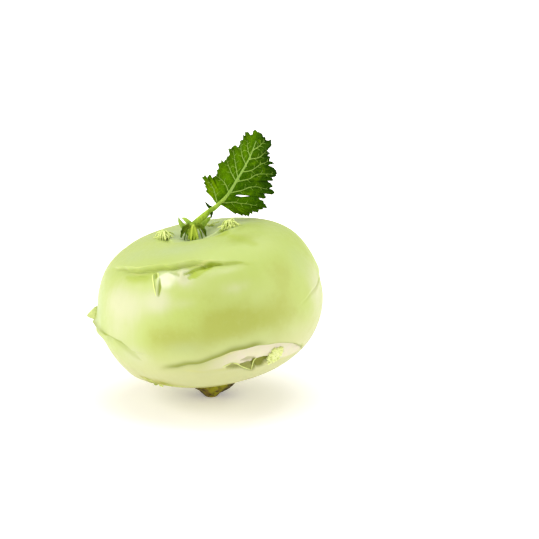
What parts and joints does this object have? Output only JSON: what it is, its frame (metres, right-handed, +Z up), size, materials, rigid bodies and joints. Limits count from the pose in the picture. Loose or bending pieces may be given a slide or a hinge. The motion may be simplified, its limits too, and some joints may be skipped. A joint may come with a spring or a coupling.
{
  "type": "kohlrabi",
  "caption": "Kohlrabi as picked: a pale green swollen stem ringed by leaf-scar ridges, with its trimmed root, a young serrated leaf and a small crown sprout.",
  "frame": {"origin": "centre of the trimmed root's flat, on the ground", "axes": "+Z up; the side in the picture faces -Y; +X is to the right in the picture"},
  "size_m": [0.0936, 0.0917, 0.1052],
  "materials": {
    "waxy_skin": "waxy satin",
    "root_bark": "rough",
    "leaf_green": "satin",
    "sprout_green": "satin"
  },
  "bodies": {
    "root": {"swollen_stem": "waxy_skin", "root_stub": "root_bark", "leaf": "leaf_green", "crown_sprout": "sprout_green"}
  },
  "joints": []
}
